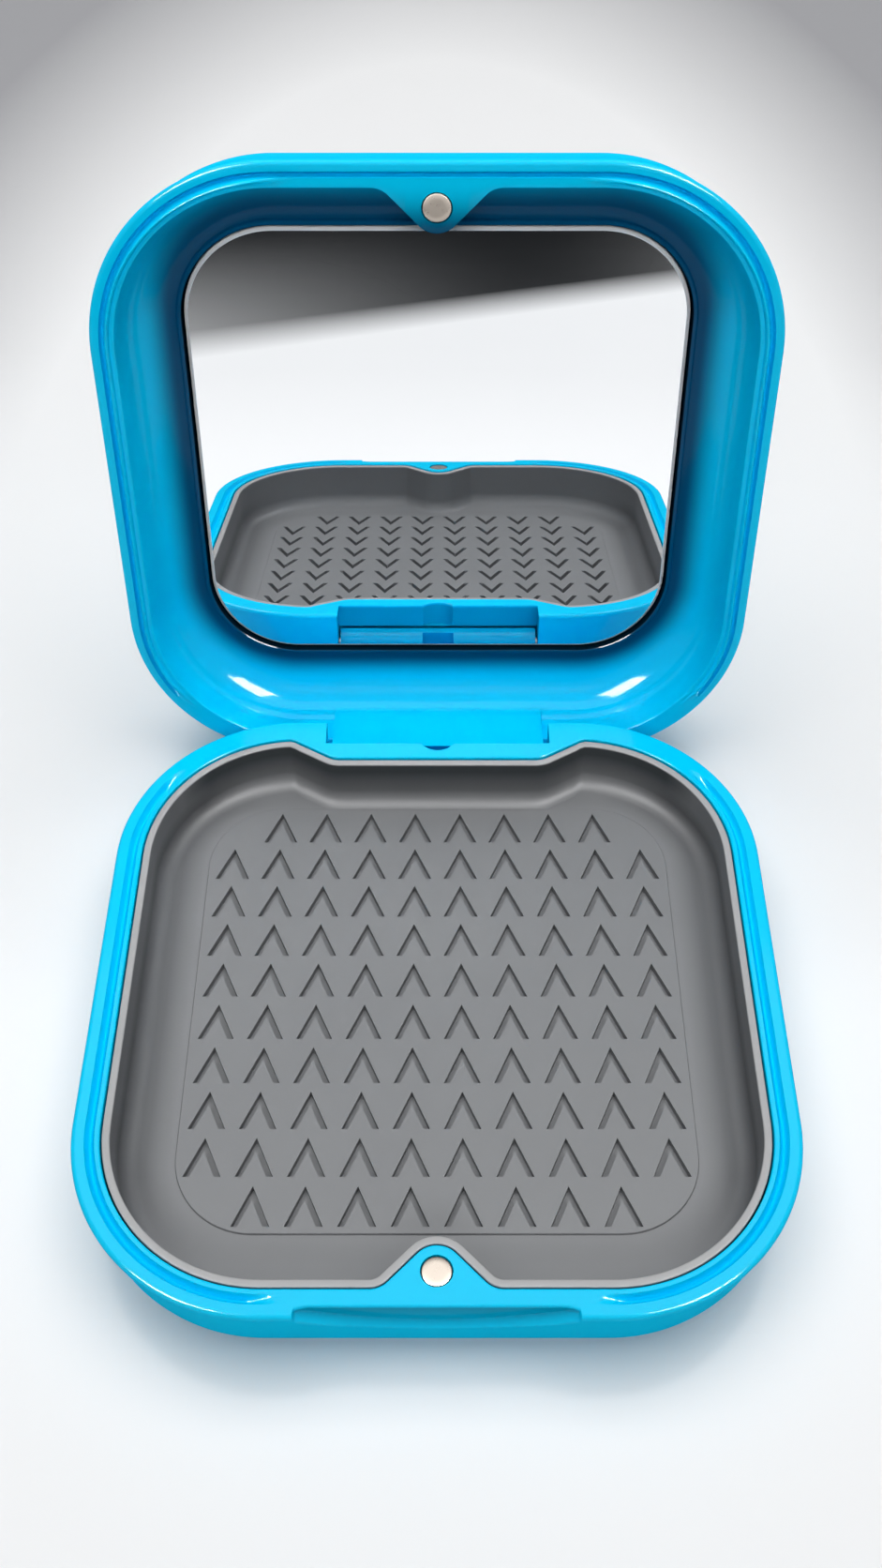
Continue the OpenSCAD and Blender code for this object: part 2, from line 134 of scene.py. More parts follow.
def housing_inset(x, grow, wall):
    """Inset of the hinge housing's outline from the back face: a flat front, a round corner, a straight
    flank at the housing slope and a concave foot."""
    x = np.abs(x)
    s, c = np.sin(housing_slope), np.cos(housing_slope)
    turn_x, turn_in = housing_half - housing_r * np.tan(housing_slope / 2), housing_in - housing_r
    foot_in = wall + foot_r
    foot_x = turn_x + (housing_r + foot_r + (turn_in - foot_in) * c) / s
    side_x, tip_x = turn_x + (housing_r + grow) * s, foot_x - (foot_r - grow) * s
    corner = turn_in + np.sqrt(np.maximum((housing_r + grow) ** 2 - (x - turn_x) ** 2, 0))
    flank = turn_in + ((housing_r + grow) - (x - turn_x) * s) / c
    foot = foot_in - np.sqrt(np.maximum((foot_r - grow) ** 2 - (foot_x - x) ** 2, 0))
    return np.select([x < turn_x, x < side_x, x < tip_x, x < foot_x],
                     [housing_in + grow + 0 * x, corner, flank, foot], wall + grow)


def inner_inset(grow, wall, housing=True):
    """Inset of the inside edge at every station: the wall, and the boss and housing where they stand."""
    inset = np.full(len(plan), wall + grow)
    inset = np.where(is_front, np.maximum(inset, boss_inset(plan_x, grow, wall)), inset)
    if housing:
        inset = np.where(is_back, np.maximum(inset, housing_inset(plan_x, grow, wall)), inset)
    return inset


def seal_share(stop, front_stop, fade):
    """1 where the seal runs and 0 past its ends, near the hinge and, if asked, beside the scoop."""
    share = np.clip((case_d / 2 - stop - plan_y) / fade + 0.5, 0, 1)
    if front_stop:
        beside = np.clip((np.abs(plan_x) - front_stop) / fade + 0.5, 0, 1)
        share = np.where(is_front, share * beside, share)
    return share


def arc(c, r, a, b, n):
    """Points of a circular arc about c from angle a to angle b, in degrees."""
    t = np.radians(np.linspace(a, b, n))
    return np.column_stack([c[0] + r * np.cos(t), c[1] + r * np.sin(t)])


def sweep(points, inward, section):
    """A section (inset, height) carried along stations: point = station + inset x inward, at the height."""
    flat = points[:, None, :] + section[..., :1] * inward[:, None, :]
    return np.concatenate([flat, section[..., 1:]], axis=2)


def strip_faces(n, m, closed, start=0):
    """Quads of a grid of n stations by m rows, numbered station by station."""
    i = np.arange(n if closed else n - 1)[:, None]
    j = np.arange(m - 1)[None, :]
    k = (i + 1) % n
    return (start + np.stack([i * m + j, k * m + j, k * m + j + 1, i * m + j + 1], -1).reshape(-1, 4)).tolist()


def joined_faces(n, n_gap, m):
    """Faces of two open grids of m rows, the second set into the gap of the first with its end stations on
    theirs: the quads of both, and the first and the last row of all stations as plates."""
    start = n * m
    feet = np.concatenate([np.arange(n) * m, start + np.arange(1, n_gap - 1) * m])
    plates = [feet[::-1].tolist(), (feet + m - 1).tolist()]
    return strip_faces(n, m, False) + strip_faces(n_gap, m, False, start) + plates


def make_piece(name, verts_mm, faces, body, node, sharp_deg=32):
    """A mesh piece from millimetre points: doubles merged, shaded smooth up to the given edge angle."""
    mesh = bpy.data.meshes.new(name)
    mesh.from_pydata((np.asarray(verts_mm) * 0.001).tolist(), [], faces)
    work = bmesh.new()
    work.from_mesh(mesh)
    bmesh.ops.remove_doubles(work, verts=work.verts, dist=1e-7)
    bmesh.ops.dissolve_degenerate(work, edges=work.edges, dist=1e-8)
    bmesh.ops.recalc_face_normals(work, faces=work.faces)
    work.to_mesh(mesh)
    work.free()
    mesh.shade_smooth()
    mesh.set_sharp_from_angle(angle=np.radians(sharp_deg))
    piece = bpy.data.objects.new(name, mesh)
    scene.collection.objects.link(piece)
    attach(piece, body)
    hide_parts(node)
    even = piece.modifiers.new("even_normals", "WEIGHTED_NORMAL")
    even.keep_sharp = True
    return piece


def cut_bore(piece, cutter_mm, cutter_faces, sharp_deg=32):
    """Cuts a closed cutter out of a piece and keeps the result as plain mesh."""
    mesh = bpy.data.meshes.new("bore")
    mesh.from_pydata((np.asarray(cutter_mm) * 0.001).tolist(), [], cutter_faces)
    cutter = bpy.data.objects.new("bore", mesh)
    scene.collection.objects.link(cutter)
    cut = piece.modifiers.new("bore", "BOOLEAN")
    cut.object, cut.operation, cut.solver = cutter, "DIFFERENCE", "EXACT"
    piece.modifiers["even_normals"].show_viewport = False
    done = bpy.data.meshes.new_from_object(piece.evaluated_get(bpy.context.evaluated_depsgraph_get()))
    piece.modifiers.remove(cut)
    piece.modifiers["even_normals"].show_viewport = True
    old, piece.data = piece.data, done
    done.name = piece.name
    bpy.data.meshes.remove(old)
    bpy.data.objects.remove(cutter)
    bpy.data.meshes.remove(mesh)
    done.shade_smooth()
    done.set_sharp_from_angle(angle=np.radians(sharp_deg))


def drum(c, r, z0, z1, n=72):
    """A closed upright drum: two rings of n points and two caps, turned so that no point lies on x = 0."""
    t = np.linspace(0, 2 * np.pi, n, endpoint=False) + np.pi / n
    ring = np.column_stack([c[0] + r * np.cos(t), c[1] + r * np.sin(t)])
    verts = np.concatenate([np.column_stack([ring, np.full(n, z)]) for z in (z0, z1)])
    i = np.arange(n)
    k = (i + 1) % n
    sides = np.column_stack([i, k, k + n, i + n]).tolist()
    return verts, sides + [i[::-1].tolist(), (i + n).tolist()]


def scoop_inset(x, z):
    """Depth of the thumb scoop in the front wall: a flat back, and below it a floor that slopes outwards
    and rises from the middle to both ends as a circle does. The depth eases off by a square root near the
    ends, which draw in by the square of the drop below the rim; past them it falls below 0."""
    end_ease, end_run, end_draw, end_top, end_step, past_end = 0.6, 1.6, 0.35, 12.6, 0.25, 12.0
    lift = thumb_rise * np.cos(thumb_slope)
    r = (thumb_half ** 2 + lift ** 2) / (2 * lift)
    rise = (r - np.sqrt(np.maximum(r ** 2 - x ** 2, 0))) / np.cos(thumb_slope)
    floor_z = base_h - thumb_h + rise
    depth = np.minimum(thumb_d, thumb_d - (floor_z - z) / np.tan(thumb_slope))
    depth = depth - end_ease * (1 - np.sqrt(np.clip((thumb_half - np.abs(x)) / end_run, 0, 1)))
    half = thumb_half - end_draw * np.clip(end_top - z, 0, 2) ** 2
    return depth - past_end * np.clip((np.abs(x) - half) / end_step + 0.4, 0, 1)


n_plan = len(plan)


def rows(inset, height):
    """Rows of a section at every station: insets and heights spread to one value per station and row."""
    return np.stack(np.broadcast_arrays(inset, height, np.empty((n_plan, 1)))[:2], -1)


# The wall's section runs from the round foot up the wall with the scoop in it, over the lip and the groove,
# and down inside. Where the wall meets the scoop, the greater inset is taken, with a soft change.
wall_n, edge_n, round_n, cove_n = 34, 11, 6, 11
inside_edge_r, scoop_lip_r, scoop_blend, no_scoop = 0.22, 0.25, 0.1, -9.0
groove_past, groove_fade, groove_form = 2.5, 3.0, 1.4
base_inset = inner_inset(0.0, rim_w)
in_front = np.where(is_front & (np.abs(plan_x) < case_w / 2 - corner_r), 1.0, 0.0)
scoop_top = np.clip(scoop_inset(plan_x, base_h), 0, thumb_d) * in_front
lip_r = rim_round + (scoop_lip_r - rim_round) * scoop_top / thumb_d
edge_rows = arc((base_lean + base_edge_r, base_edge_r), base_edge_r, -90, -180, edge_n)
wall_z = base_edge_r + (base_h - lip_r - base_edge_r)[:, None] * np.linspace(0, 1, wall_n)[None, 1:]
wall_lean = base_lean * (1 - (wall_z - base_edge_r) / (base_h - rim_round - base_edge_r))
wall_lean = np.maximum(wall_lean, 0)
scoop_in = np.where(in_front[:, None] > 0, scoop_inset(plan_x[:, None], wall_z), no_scoop)
wall_in = (wall_lean + scoop_in + np.sqrt((wall_lean - scoop_in) ** 2 + scoop_blend ** 2)) / 2
lip_t = np.radians(np.linspace(180, 90, round_n))[None, 1:]
lip_in = scoop_top[:, None] + lip_r[:, None] * (1 + np.cos(lip_t))
lip_z = base_h - lip_r[:, None] * (1 - np.sin(lip_t))
cove_start = np.maximum(groove_in, scoop_top + lip_r + 0.05)
cove_t = np.linspace(0, 1, cove_n)[None, :]
cove_in = cove_start[:, None] + groove_w * cove_t
cove_in[is_back & np.isclose(np.abs(plan_x), notch_half), -1] = strip_in + 0.15
groove_on = seal_share(seal_stop, thumb_half + groove_w + groove_past, groove_fade)[:, None]
cove_z = base_h - groove_h * groove_on * np.abs(np.sin(np.pi * cove_t)) ** groove_form
brim_t = np.radians(np.linspace(90, 0, 5))[None, :]
brim_in = base_inset[:, None] - inside_edge_r * (1 - np.cos(brim_t))
brim_z = base_h - inside_edge_r * (1 - np.sin(brim_t))
base_section = np.concatenate([
    rows(*edge_rows.T), rows(wall_in, wall_z), rows(lip_in, lip_z), rows(cove_in, cove_z),
    rows(base_inset[:, None] - inside_edge_r - 0.06, base_h), rows(brim_in, brim_z),
    rows(base_inset[:, None], base_floor)], axis=1)
rows_base = base_section.shape[1]
turned_rows = edge_n + wall_n - 1 + round_n - 1 + cove_n

# The stations of the notch take another section: the foot up to the sill, the room for the barrel, and the
# strip above it with its scallop. Flat cheeks close both ends.
notch_order = np.where(is_back & (np.abs(plan_x) <= notch_half + 1e-6))[0]
wall_order = np.roll(np.arange(n_plan), -notch_order[-1])[:n_plan - len(notch_order) + 2]
n_wall, n_notch = len(wall_order), len(notch_order)
scallop_r = (scallop_half ** 2 + scallop_d ** 2) / (2 * scallop_d)
sill_out = base_lean + base_edge_r - np.sqrt(base_edge_r ** 2 - (base_edge_r - sill_h) ** 2)
low_rows = edge_rows[edge_rows[:, 1] < sill_h - 0.05]
hinge_z = base_h - hinge_drop
room_half = np.degrees(np.arccos((strip_in - hinge_in) / barrel_room))
room_top = hinge_z + barrel_room * np.sin(np.radians(room_half))
bite = np.maximum(np.sqrt(np.maximum(scallop_r ** 2 - plan_x[notch_order] ** 2, 0)) - (scallop_r - scallop_d), 0)
face_in = (strip_in + bite)[:, None]
room_rows = np.concatenate([low_rows, [[sill_out, sill_h], [strip_in, sill_h]],
                            arc((hinge_in, hinge_z), barrel_room, -room_half, room_half, 15)])
face_z = np.linspace(room_top, base_h - 0.15, turned_rows - len(room_rows) - 3)[None, :]
brow_in = np.concatenate([face_in + 0 * face_z, face_in + [[0.05, 0.15, 0.2]]], axis=1)
brow_in[[0, -1], -1] = brow_in[[0, -1], -2]
brow_z = np.concatenate([face_z, [[base_h - 0.05, base_h, base_h]]], axis=1)
notch_section = np.concatenate([
    np.broadcast_to(room_rows, (n_notch, *room_rows.shape)),
    np.stack([brow_in, np.broadcast_to(brow_z, brow_in.shape)], -1),
    base_section[notch_order][:, turned_rows:]], axis=1)

wall_grid = sweep(plan[wall_order], plan_in[wall_order], base_section[wall_order])
notch_grid = sweep(plan[notch_order], plan_in[notch_order], notch_section)
base_verts = np.concatenate([wall_grid.reshape(-1, 3), notch_grid.reshape(-1, 3)])
first_notch, last_notch = n_wall * rows_base, (n_wall + n_notch - 1) * rows_base
cheek_rows = np.arange(len(low_rows) - 1, turned_rows)
right_cheek = ((n_wall - 1) * rows_base + cheek_rows).tolist() + (first_notch + cheek_rows[1:-2][::-1]).tolist()
left_cheek = (last_notch + cheek_rows[:-1]).tolist() + cheek_rows[1:-1][::-1].tolist()
base_faces = joined_faces(n_wall, n_notch, rows_base) + [right_cheek, left_cheek]
base_shell = make_piece("blue_base", base_verts, base_faces, "base", "base_shell")
magnet_y, magnet_r, magnet_ring, magnet_bore = -case_d / 2 + magnet_in, 1.72, 0.13, 2.1
cut_bore(base_shell, *drum((0, magnet_y), magnet_r + magnet_ring, base_h - magnet_bore, base_h + 1))

skin = bpy.data.node_groups.new("moulded_skin", "ShaderNodeTree")
for label in ("Flow Scale", "Grain Scale", "Low", "High"):
    skin.interface.new_socket(label, in_out="INPUT", socket_type="NodeSocketFloat")
for label in ("Tone", "Roughness", "Height"):
    skin.interface.new_socket(label, in_out="OUTPUT", socket_type="NodeSocketFloat")
skin_in, skin_out = skin.nodes.new("NodeGroupInput"), skin.nodes.new("NodeGroupOutput")
skin_place = skin.nodes.new("ShaderNodeTexCoord")
flow, grain = skin.nodes.new("ShaderNodeTexNoise"), skin.nodes.new("ShaderNodeTexNoise")
flow.inputs["Detail"].default_value = 3.0
grain.inputs["Detail"].default_value = 5.0
level, relief = skin.nodes.new("ShaderNodeMapRange"), skin.nodes.new("ShaderNodeMath")
relief.operation = "MULTIPLY_ADD"
relief.inputs[1].default_value = 0.35
for output, socket in (
        (skin_place.outputs["Object"], flow.inputs["Vector"]), (skin_place.outputs["Object"], grain.inputs["Vector"]),
        (skin_in.outputs["Flow Scale"], flow.inputs["Scale"]), (skin_in.outputs["Grain Scale"], grain.inputs["Scale"]),
        (grain.outputs["Fac"], level.inputs["Value"]), (skin_in.outputs["Low"], level.inputs["To Min"]),
        (skin_in.outputs["High"], level.inputs["To Max"]), (grain.outputs["Fac"], relief.inputs[0]),
        (flow.outputs["Fac"], relief.inputs[2]), (flow.outputs["Fac"], skin_out.inputs["Tone"]),
        (level.outputs["Result"], skin_out.inputs["Roughness"]), (relief.outputs["Value"], skin_out.inputs["Height"])):
    skin.links.new(output, socket)


def skinned_finish(name, dark, light, scales, rough, bump, bump_depth, metallic=0.0, specular=0.5):
    """A material whose colour, roughness and bump all vary with the moulded skin group. The scales are those
    of its flow and its grain, rough gives the least and the greatest roughness."""
    made = bpy.data.materials.new(name)
    made.use_nodes = True
    tree = made.node_tree
    shader = tree.nodes["Principled BSDF"]
    surface, tint, bumps = map(tree.nodes.new, ("ShaderNodeGroup", "ShaderNodeMix", "ShaderNodeBump"))
    surface.node_tree = skin
    tint.data_type = "RGBA"
    for node, label, value in (
            (surface, "Flow Scale", scales[0]), (surface, "Grain Scale", scales[1]),
            (surface, "Low", rough[0]), (surface, "High", rough[1]),
            (tint, "A", (*dark, 1.0)), (tint, "B", (*light, 1.0)),
            (bumps, "Strength", bump), (bumps, "Distance", bump_depth),
            (shader, "Metallic", metallic), (shader, "Specular IOR Level", specular)):
        node.inputs[label].default_value = value
    tree.links.new(surface.outputs["Tone"], tint.inputs["Factor"])
    tree.links.new(tint.outputs["Result"], shader.inputs["Base Color"])
    tree.links.new(surface.outputs["Roughness"], shader.inputs["Roughness"])
    tree.links.new(surface.outputs["Height"], bumps.inputs["Height"])
    tree.links.new(bumps.outputs["Normal"], shader.inputs["Normal"])
    return made


def blue_finish(name):
    """The blue plastic: full colour with no gloss of its own, under a clear coat for the polish of the mould.
    The coat's weight falls where the surface is seen at a low angle, so that the walls keep their blue."""
    made = skinned_finish(name, (0.0006, 0.585, 0.93), (0.0009, 0.615, 0.96), scales=(160, 1500), rough=(0.3, 0.4),
                          bump=0.04, bump_depth=0.0002, specular=0.0)
    tree = made.node_tree
    shader = tree.nodes["Principled BSDF"]
    shader.inputs["Coat Roughness"].default_value = 0.1
    slant, polish = tree.nodes.new("ShaderNodeLayerWeight"), tree.nodes.new("ShaderNodeMapRange")
    slant.inputs["Blend"].default_value = 0.5
    for label, value in (("From Min", 0.3), ("From Max", 0.8), ("To Min", 0.2), ("To Max", 0.015)):
        polish.inputs[label].default_value = value
    tree.links.new(slant.outputs["Facing"], polish.inputs["Value"])
    tree.links.new(polish.outputs["Result"], shader.inputs["Coat Weight"])
    return made


def chain(kind, *values, clamp=False):
    """A math node in the current tree, fed by sockets and plain numbers; returns its output."""
    made = tree.nodes.new("ShaderNodeMath")
    made.operation, made.use_clamp = kind, clamp
    for k, value in enumerate(values):
        if isinstance(value, (int, float)):
            made.inputs[k].default_value = value
        else:
            tree.links.new(value, made.inputs[k])
    return made.outputs["Value"]


def object_axes(through=None):
    """The place on the piece in the current tree, in metres, led through a mapping node if one is given.
    Returns the outputs for x, y and z."""
    place, split = tree.nodes.new("ShaderNodeTexCoord"), tree.nodes.new("ShaderNodeSeparateXYZ")
    spot = place.outputs["Object"]
    if through is not None:
        tree.links.new(spot, through.inputs["Vector"])
        spot = through.outputs["Vector"]
    tree.links.new(spot, split.inputs["Vector"])
    return tuple(split.outputs)


def ramp(value, start_mm, end_mm, smooth=False):
    """A mask in the current tree: 0 up to the start, 1 past the end, with a straight or a soft change between."""
    made = tree.nodes.new("ShaderNodeMapRange")
    made.interpolation_type = "SMOOTHSTEP" if smooth else "LINEAR"
    made.inputs["From Min"].default_value = 0.001 * start_mm
    made.inputs["From Max"].default_value = 0.001 * end_mm
    tree.links.new(value, made.inputs["Value"])
    return made.outputs["Result"]


def below(value, limit_mm):
    """A mask that is 1 where the value is less than the limit."""
    return chain("LESS_THAN", value, 0.001 * limit_mm)


def above(value, limit_mm):
    """A mask that is 1 where the value is more than the limit."""
    return chain("GREATER_THAN", value, 0.001 * limit_mm)


def all_of(mask, *others):
    """The product of masks in the current tree."""
    for other in others:
        mask = chain("MULTIPLY", mask, other)
    return mask


def paint_over(*layers):
    """Lays colours over the tint of the current tree, each by its mask, and gives the result to the shader."""
    colour = tree.nodes["Mix"].outputs["Result"]
    for mask, paint in layers:
        made = tree.nodes.new("ShaderNodeMix")
        made.data_type = "RGBA"
        made.inputs["B"].default_value = (*paint, 1.0)
        tree.links.new(mask, made.inputs["Factor"])
        tree.links.new(colour, made.inputs["A"])
        colour = made.outputs["Result"]
    tree.links.new(colour, tree.nodes["Principled BSDF"].inputs["Base Color"])


# The blue is painted darker in the notch and in the thumb scoop, as painted shade where little light reaches; in
# the scoop the painted shade deepens with the distance behind the leaning wall.
notch_shade_blue, scoop_shade_blue = (0.0005, 0.32, 0.56), (0.0006, 0.35, 0.57)
blue_plastic = blue_finish("blue_plastic")
tree = blue_plastic.node_tree
x, y, z = object_axes()
off_middle = chain("ABSOLUTE", x)
# Painted shade inside the notch, from just under the rim down to above the sill.
notch_shade_mask = all_of(below(off_middle, notch_half + 0.08), above(y, case_d / 2 - strip_in - scallop_d - 0.05),
                  ramp(z, base_h - 0.1, base_h - 0.5), above(z, sill_h + 0.3))
# Painted shade in the thumb scoop, darker the further the point lies behind the leaning wall.
lean_share = base_lean / (base_h - rim_round - base_edge_r)
lean_here = chain("MULTIPLY", chain("SUBTRACT", 0.001 * (base_h - rim_round), z), lean_share)
behind_wall = chain("SUBTRACT", chain("ADD", y, 0.001 * case_d / 2), chain("MAXIMUM", lean_here, 0.0))
scoop_shade_mask = all_of(below(off_middle, thumb_half - 0.1), below(y, thumb_d + 0.12 - case_d / 2),
                  ramp(z, base_h - 0.2, base_h - 0.5333), above(z, base_h - thumb_h - 1.2),
                  ramp(behind_wall, 0.2, 1.3765))
paint_over((notch_shade_mask, notch_shade_blue), (scoop_shade_mask, scoop_shade_blue))
base_shell.data.materials.append(blue_plastic)


# Liner: a thin grey silicone tray that drops into the base. Its edge follows the rim, the boss and the
# housing, and its floor carries a low panel with rows of chevron grooves that let the air in.
liner_wall, liner_gap, liner_top, liner_floor = 0.95, 0.2, 12.8, 5.0
liner_fillet, liner_edge = 2.2, 0.2
panel_half, panel_r, panel_h, panel_y = 31.75, 10.0, 0.3, 1.5
chev_n, chev_pitch, chev_half, chev_h, chev_leg, chev_deep = 10, 6.3, 2.3, 5.1, 0.8, 1.0
outside_in = inner_inset(liner_gap, rim_w)
inside_in = inner_inset(liner_gap + liner_wall, rim_w)
top_t = np.linspace(0, np.pi / 2, 5)[None, :]
fillet_t = np.linspace(0, np.pi / 2, 9)[None, :]
liner_section = np.concatenate([
    rows(outside_in[:, None], base_floor),
    rows(outside_in[:, None] + liner_edge * (1 - np.cos(top_t)), liner_top - liner_edge * (1 - np.sin(top_t))),
    rows(inside_in[:, None] - liner_edge * (1 - np.sin(top_t)), liner_top - liner_edge * (1 - np.cos(top_t))),
    rows(inside_in[:, None] + liner_fillet * (1 - np.cos(fillet_t)),
         liner_floor + liner_fillet * (1 - np.sin(fillet_t)))], axis=1)
tray = sweep(plan, plan_in, liner_section)


def ring_row(ring, middle_y, z):
    """An outline about (0, 0), moved by middle_y, as one row of points at a height. Each station gets the
    point on the ray from the outline's middle: its distance is read off between the outline's points by angle."""
    want, have = np.arctan2(plan_y - middle_y, plan_x), np.arctan2(ring[:, 1], ring[:, 0])
    order = np.argsort(have)
    reach = np.interp(want, have[order], np.hypot(ring[order, 0], ring[order, 1]), period=2 * np.pi)
    return np.column_stack([reach * np.cos(want), middle_y + reach * np.sin(want), np.full(n_plan, z)])[:, None, :]


def panel_row(grow, z):
    """The outline of the raised panel, grown, as one row of points at a height."""
    ring_x = mirrored(np.concatenate([np.arange(0.5, 4) * chev_pitch, np.linspace(0, 21.7, 30)]))
    side = 2 * panel_half + 2 * grow
    return ring_row(rounded_outline(side, side, panel_r + grow, ring_x, ring_x, 60, 24)[0], panel_y, z)


def closed_faces(n, m):
    """Faces of a closed grid of n stations by m rows: its quads, and its first and last row as caps."""
    feet = np.arange(n) * m
    return strip_faces(n, m, True) + [feet[::-1].tolist(), (feet + m - 1).tolist()]


panel_top, panel_edge = liner_floor + panel_h, 0.06
tray = np.concatenate([tray, panel_row(panel_edge, liner_floor), panel_row(0.0, liner_floor + panel_h * 0.8),
                       panel_row(-panel_edge, panel_top)], axis=1)
liner_tray = make_piece("grey_liner", tray.reshape(-1, 3), closed_faces(n_plan, tray.shape[1]),
                        "base", "liner_tray", 40)

half_h = chev_h / 2
rise = chev_leg * chev_h / chev_half
chevron = np.array([[-chev_half, -half_h], [-chev_half + chev_leg, -half_h], [0, half_h - rise],
                    [chev_half - chev_leg, -half_h], [chev_half, -half_h], [0, half_h]])
mid = (chev_n - 1) / 2
row, column = np.meshgrid(np.arange(chev_n), np.arange(chev_n))
kept = (np.abs(row - mid) + np.abs(column - mid) < 2 * mid).ravel()
centres = np.column_stack([(row.ravel()[kept] - mid) * chev_pitch,
                           panel_y + (column.ravel()[kept] - mid) * chev_pitch])
groove_z = np.array([panel_top - chev_deep, panel_top + 0.5])
corner_n = len(chevron)
grooves = np.concatenate([np.concatenate([centres[:, None, None, :] + chevron[None, None, :, :]] * 2, axis=1),
                          np.broadcast_to(groove_z[None, :, None, None], (len(centres), 2, corner_n, 1))], axis=3)
corner = np.arange(corner_n)
after = (corner + 1) % corner_n
sides = np.column_stack([corner, after, after + corner_n, corner + corner_n])
first = 2 * corner_n * np.arange(len(centres))[:, None]
groove_faces = (sides[None] + first[:, :, None]).reshape(-1, 4).tolist()
groove_faces += (corner[::-1] + first).tolist() + (corner + corner_n + first).tolist()
cut_bore(liner_tray, grooves.reshape(-1, 3), groove_faces, 40)


def distance(x, y):
    """The root of the sum of two squares, in the current tree."""
    return chain("SQRT", chain("ADD", chain("MULTIPLY", x, x), chain("MULTIPLY", y, y)))


def off_outline(x, y, half_x, half_y, r):
    """How far a point lies outside a rounded rectangle, in metres: past its straight sides by the plain
    distance, past its corners by the distance from the corner's centre less the radius."""
    side_x = chain("SUBTRACT", chain("ABSOLUTE", x), 0.001 * (half_x - r))
    side_y = chain("SUBTRACT", chain("ABSOLUTE", y), 0.001 * (half_y - r))
    outside = distance(chain("MAXIMUM", side_x, 0.0), chain("MAXIMUM", side_y, 0.0))
    within = chain("MINIMUM", chain("MAXIMUM", side_x, side_y), 0.0)
    return chain("SUBTRACT", chain("ADD", outside, within), 0.001 * r)


# The grey is painted darker as painted shade round the panel and along the walls, most of all on the wall at the
# back, and paler on the top edge as a painted highlight.
wall_shade_grey, back_shade_grey, top_highlight_grey = (0.118, 0.122, 0.128), (0.042, 0.050, 0.056), (0.36, 0.36, 0.365)
grey_silicone = skinned_finish("grey_silicone", (0.176, 0.181, 0.189), (0.200, 0.206, 0.213), scales=(90, 2600),
                               rough=(0.46, 0.6), bump=0.1, bump_depth=0.0002, specular=0.15)
tree = grey_silicone.node_tree
x, y, z = object_axes()
off_panel = off_outline(x, chain("SUBTRACT", y, 0.001 * panel_y), panel_half, panel_half, panel_r)
# Painted shade along the foot of the walls, away from the panel.
wall_shade_mask = all_of(ramp(off_panel, 0.6, 3.6303), ramp(y, -34.0, -22.889), ramp(y, 37.0, 33.0),
                 ramp(z, liner_floor + 4.5, liner_floor + 2.2778))
# Painted shadow on the wall at the back.
back_shade_mask = all_of(ramp(y, 30.0, 34.0), ramp(z, liner_floor + 1.6, liner_floor + 6.1455))
# Painted highlight on the top edge.
top_highlight_mask = ramp(z, liner_top - 0.35, liner_top - 0.08)
paint_over((wall_shade_mask, wall_shade_grey), (back_shade_mask, back_shade_grey), (top_highlight_mask, top_highlight_grey))
liner_tray.data.materials.append(grey_silicone)


# Magnets: two small discs with bright nickel plate and a bevelled face, pressed into the bosses of base
# and lid, where they meet when the case is shut. The two plates are lit and shaded copies of one finish: the base's
# disc, which faces the lamp, is painted darker, and the lid's is painted lighter.
magnet_t, magnet_sink, magnet_bevel = 2.0, 0.1, 0.2
lid_open, rim_gap = np.radians(101.5), 0.3
hinge_y, lid_z = case_d / 2 - hinge_in, base_h + rim_gap


def swung(local):
    """Points of the lid drawn shut, with its rim at height 0, turned open about the hinge."""
    y, z = local[..., 1] - hinge_y, local[..., 2] + lid_z - hinge_z
    c, s = np.cos(-lid_open), np.sin(-lid_open)
    return np.stack([local[..., 0], hinge_y + y * c - z * s, hinge_z + y * s + z * c], -1)


def disc(r, rim, height, n=72):
    """A disc turned from its section: foot, side, a bevel in three steps and a flat face that is very
    slightly crowned. Row k of the section is a circle of that radius at that height."""
    section = np.array([[0.01, 0], [r, 0], [r, height - rim], [r - 0.3 * rim, height - 0.25 * rim],
                        [r - rim, height], [0.55 * r, height + 0.004], [0.01, height + 0.006]])
    m = len(section)
    t = np.linspace(0, 2 * np.pi, n, endpoint=False)
    grid = np.stack([section[None, :, 0] * np.cos(t)[:, None], section[None, :, 0] * np.sin(t)[:, None],
                     np.broadcast_to(section[None, :, 1], (n, m))], -1)
    return grid.reshape(-1, 3), closed_faces(n, m)


disc_verts, disc_faces = disc(magnet_r, magnet_bevel, magnet_t)
base_disc = disc_verts + [0, magnet_y, base_h - magnet_sink - magnet_t]
lid_disc = disc_verts * [1, -1, -1] + [0, magnet_y, magnet_sink + magnet_t]
base_magnet = make_piece("base_disc", base_disc, disc_faces, "base", "base_magnet", 20)
lid_magnet = make_piece("lid_disc", swung(lid_disc), disc_faces, "lid", "lid_magnet", 20)
dark_nickel, light_nickel = np.array([1.0, 0.88, 0.76]), np.array([1.09, 0.96, 0.83])
# Painted light: the same plate at two strengths, darker on the base's disc and lighter on the lid's.
for piece, plate, painted_strength in ((base_magnet, "nickel_plate_base", 0.215), (lid_magnet, "nickel_plate_lid", 0.47)):
    nickel = skinned_finish(plate, dark_nickel * painted_strength, light_nickel * painted_strength, scales=(300, 1500), rough=(0.25, 0.31),
                            bump=0.01, bump_depth=0.0001, metallic=1.0)
    piece.data.materials.append(nickel)


# Hinge pins: two short lengths of drawn steel wire, fixed in the base on both sides of the notch and
# running in the ends of the tongue's barrel. They keep the shape that the frame gives them.
pin_steel = skinned_finish("pin_steel", (0.50, 0.50, 0.49), (0.60, 0.60, 0.59), scales=(500, 3000), rough=(0.22, 0.38),
                           bump=0.05, bump_depth=0.0001, metallic=1.0)
for side_name in ("hinge_pin_left", "hinge_pin_right"):
    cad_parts[side_name].data.materials.clear()
    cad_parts[side_name].data.materials.append(pin_steel)


